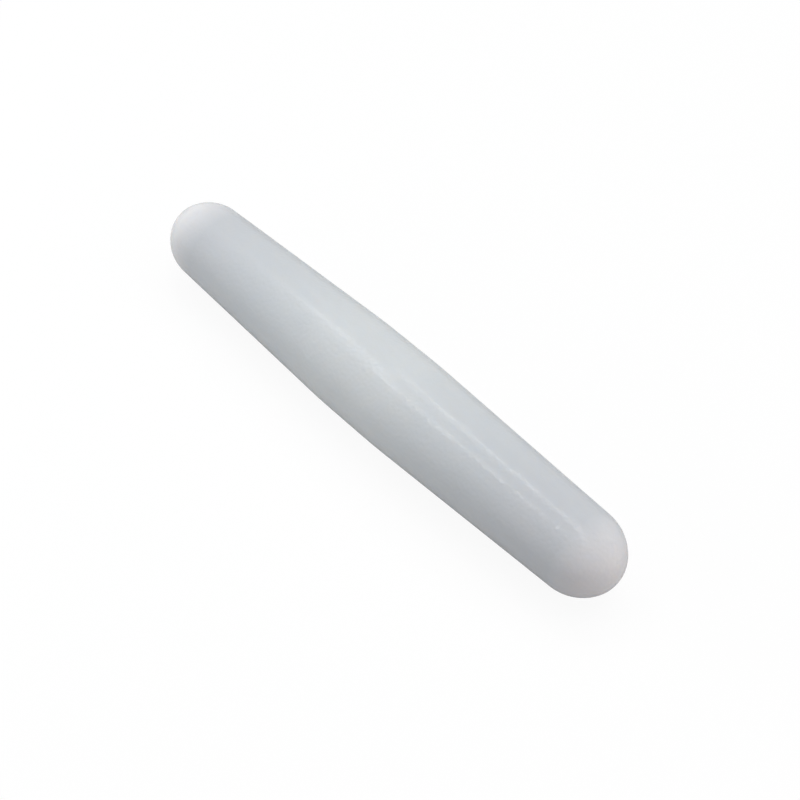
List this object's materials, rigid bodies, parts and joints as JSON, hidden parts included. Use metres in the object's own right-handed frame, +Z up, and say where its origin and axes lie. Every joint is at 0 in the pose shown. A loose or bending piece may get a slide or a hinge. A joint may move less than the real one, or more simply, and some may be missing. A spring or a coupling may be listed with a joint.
{
  "type": "magnetic stir bar",
  "caption": "Long white stirring bar with a rounded belly, tapered sides and round ends; a magnet sealed inside lets a drive below a vessel spin it to stir liquid.",
  "frame": {"origin": "middle of the bar, on its axis, which is also the point it spins about", "axes": "+X along the bar from the middle to one tip, +Z up when the bar lies on a level floor, +Y to its side"},
  "size_m": [0.05, 0.008, 0.008],
  "materials": {
    "jacket_polymer": "satin",
    "magnet_alloy": "matte"
  },
  "bodies": {
    "root": {"jacket": "jacket_polymer", "magnet": "magnet_alloy"}
  },
  "joints": []
}
